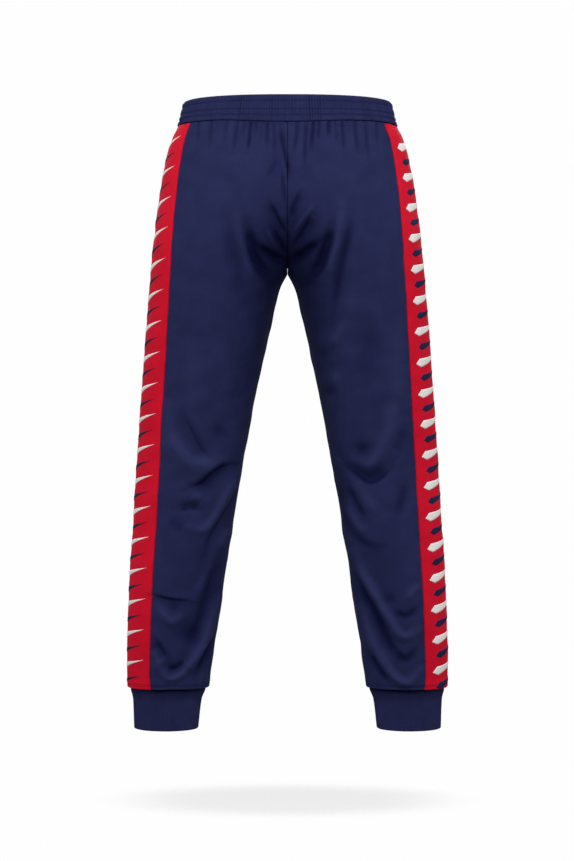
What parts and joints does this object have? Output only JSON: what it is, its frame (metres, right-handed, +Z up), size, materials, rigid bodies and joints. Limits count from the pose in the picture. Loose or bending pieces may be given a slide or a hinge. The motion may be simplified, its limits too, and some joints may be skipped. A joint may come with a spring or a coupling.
{
  "type": "knitted track pants",
  "caption": "Hollow knitted track pants with contrast side panels, stitched elastic waistband, rib cuffs and zipped side pockets.",
  "frame": {"origin": "centre of the waist opening, level with the top edge of the waistband", "axes": "+Z up, -Y the wearer's front, +X the wearer's left"},
  "size_m": [0.512, 0.2359, 0.997],
  "materials": {
    "navy_knit": "satin-faced navy tricot knit",
    "red_knit": "satin-faced red tricot knit",
    "white_knit": "white inlaid knit mark",
    "navy_rib": "matt navy rib knit",
    "elastic": "woven elastic",
    "lining": "thin navy mesh lining",
    "zip_tape": "woven zip tape",
    "zip_coil": "moulded coil",
    "dark_metal": "dark lacquered metal",
    "label": "blank satin label"
  },
  "bodies": {
    "pants": {"waistband_casing": "navy_knit", "waistband_elastic": "elastic", "left_drawcord_eyelet": "dark_metal", "right_drawcord_eyelet": "dark_metal", "care_label": "label", "left_leg_back_panel": "navy_knit", "left_side_panel": "red_knit", "left_leg_front_panel": "navy_knit", "left_rib_cuff": "navy_rib", "left_pocket_bag": "lining", "left_zip_tape_front": "zip_tape", "left_zip_tape_side": "zip_tape", "left_zip_coil_front": "zip_coil", "left_zip_coil_side": "zip_coil", "left_zip_top_stop_front": "dark_metal", "left_zip_top_stop_side": "dark_metal", "left_zip_bottom_stop": "dark_metal", "right_leg_back_panel": "navy_knit", "right_side_panel": "red_knit", "right_leg_front_panel": "navy_knit", "right_rib_cuff": "navy_rib", "right_pocket_bag": "lining", "right_zip_tape_front": "zip_tape", "right_zip_tape_side": "zip_tape", "right_zip_coil_front": "zip_coil", "right_zip_coil_side": "zip_coil", "right_zip_top_stop_front": "dark_metal", "right_zip_top_stop_side": "dark_metal", "right_zip_bottom_stop": "dark_metal"},
    "left_slider": {"left_zip_slider": "dark_metal"},
    "left_pull": {"left_zip_pull": "dark_metal"},
    "right_slider": {"right_zip_slider": "dark_metal"},
    "right_pull": {"right_zip_pull": "dark_metal"}
  },
  "joints": [
    {"name": "left_zip_slide", "type": "slide", "parent": "pants", "child": "left_slider", "axis": [0.2009, 0.1623, -0.9661], "range_m": [0, 0.114]},
    {"name": "left_pull_swing", "type": "hinge", "parent": "left_slider", "child": "left_pull", "pos_m": [0.18581, -0.03531, -0.08746], "axis": [-0.2501, -0.945, -0.2108], "range_deg": [0, 150]},
    {"name": "right_zip_slide", "type": "slide", "parent": "pants", "child": "right_slider", "axis": [-0.2009, 0.1623, -0.9661], "range_m": [0, 0.114]},
    {"name": "right_pull_swing", "type": "hinge", "parent": "right_slider", "child": "right_pull", "pos_m": [-0.18581, -0.03531, -0.08746], "axis": [-0.2501, 0.945, 0.2108], "range_deg": [0, 150]}
  ]
}
